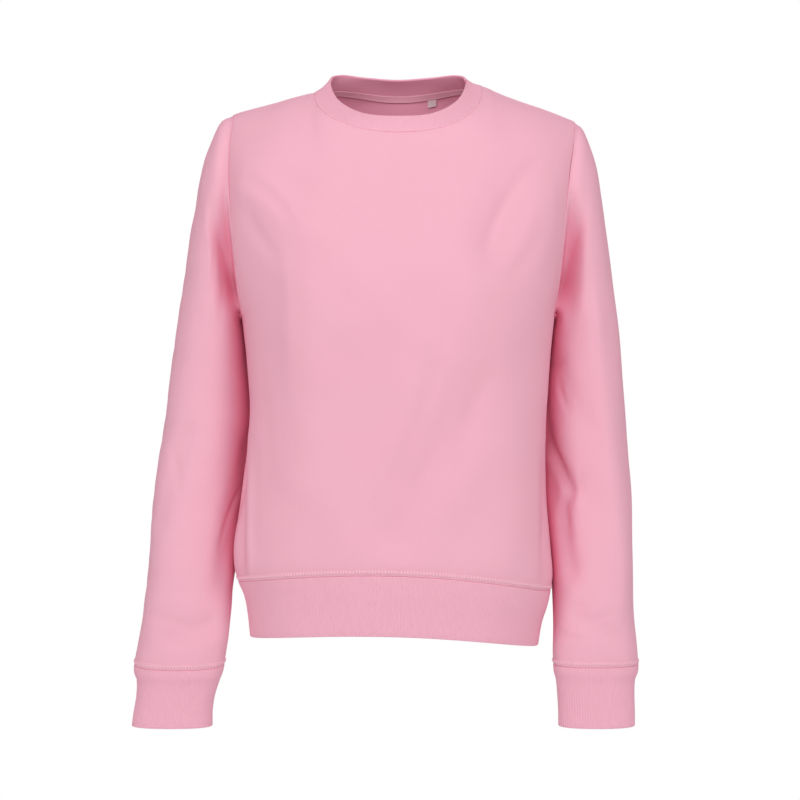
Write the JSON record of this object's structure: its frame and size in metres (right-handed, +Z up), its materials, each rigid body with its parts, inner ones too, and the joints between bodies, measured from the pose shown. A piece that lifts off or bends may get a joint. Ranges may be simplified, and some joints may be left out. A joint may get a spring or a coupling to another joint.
{
  "type": "crewneck sweatshirt",
  "caption": "Plain pink long-sleeved crewneck sweatshirt with ribbed collar, cuffs and hem band, filled out as worn, hollow and open at neck, hem and cuffs.",
  "frame": {"origin": "midway between the two points where the shoulder seams meet the collar", "axes": "+Z up, -Y towards the garment's front, +X towards the wearer's left"},
  "size_m": [0.5532, 0.2334, 0.7158],
  "materials": {
    "fleece": "brushed-back fleece, matt",
    "rib": "rib knit, matt",
    "tape": "plain knit tape, matt",
    "label": "woven satin, soft sheen"
  },
  "bodies": {
    "root": {"front": "fleece", "back": "fleece", "sleeve_right": "fleece", "sleeve_left": "fleece", "collar": "rib", "hem_band": "rib", "cuff_right": "rib", "cuff_left": "rib", "neck_tape": "tape", "size_label": "label"}
  },
  "joints": []
}
